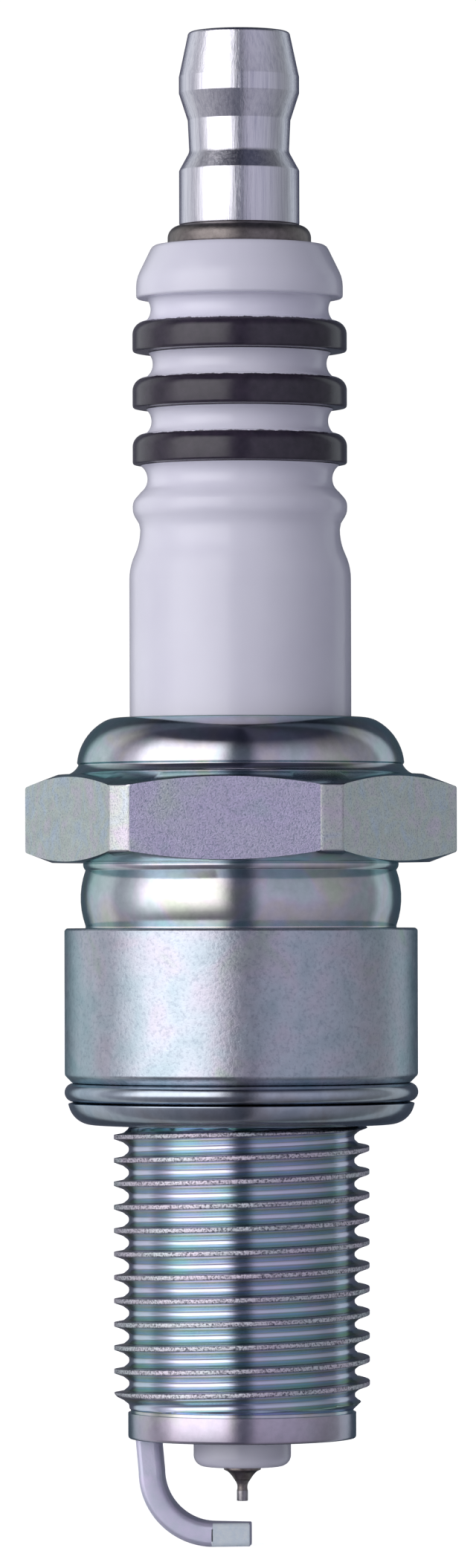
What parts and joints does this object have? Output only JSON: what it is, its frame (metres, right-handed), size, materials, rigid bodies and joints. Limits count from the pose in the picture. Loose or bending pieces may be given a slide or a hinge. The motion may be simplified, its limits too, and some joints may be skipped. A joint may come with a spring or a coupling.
{
  "type": "spark plug",
  "caption": "Spark plug with ribbed ceramic insulator, hexagon shell, threaded end, fine-wire centre electrode and screw-on terminal nut.",
  "frame": {"origin": "on the plug's axis, in the plane of the gasket's lower face, which seats on the cylinder head", "axes": "+Z along the plug's axis from the firing end to the terminal; the ground electrode stands on the -X side; two hexagon flats face +Y and -Y"},
  "size_m": [0.023, 0.0208, 0.081],
  "materials": {
    "terminal_nut": "turned, fine tool marks",
    "terminal_stud": "dark bronze-brown oxide",
    "insulator_glaze": "white glaze with near-black bands on the upper ribs",
    "plated_steel": "zinc plated, blue passivated with a faint iridescence",
    "gasket_steel": "bright plated sheet",
    "electrode_nickel": "dull nickel alloy",
    "tip_weld": "laser weld",
    "firing_tip": "dull grey precious metal",
    "ground_nickel": "drawn nickel alloy, satin",
    "conductive_glass": "fired conductive glass, opaque",
    "resistor_body": "matt, pressed",
    "copper": "drawn copper",
    "packing_steel": "plain",
    "talc": "pressed powder"
  },
  "bodies": {
    "plug": {"terminal_stud": "terminal_stud", "insulator": "insulator_glaze", "shell": "plated_steel", "centre_electrode": "electrode_nickel", "tip_weld": "tip_weld", "firing_tip": "firing_tip", "ground_electrode": "ground_nickel", "upper_glass_seal": "conductive_glass", "resistor": "resistor_body", "lower_glass_seal": "conductive_glass", "copper_core": "copper", "seat_washer": "packing_steel", "lower_packing_ring": "packing_steel", "talc_fill": "talc", "upper_packing_ring": "packing_steel"},
    "terminal_nut": {"terminal_nut": "terminal_nut"},
    "gasket": {"gasket": "gasket_steel"}
  },
  "joints": [
    {"name": "terminal_nut_lift", "type": "slide", "parent": "plug", "child": "terminal_nut", "axis": [0, 0, 1], "range_m": [0, 0.0095]},
    {"name": "gasket_slide", "type": "slide", "parent": "plug", "child": "gasket", "axis": [0, 0, 1], "range_m": [-0.0006, 0]}
  ]
}
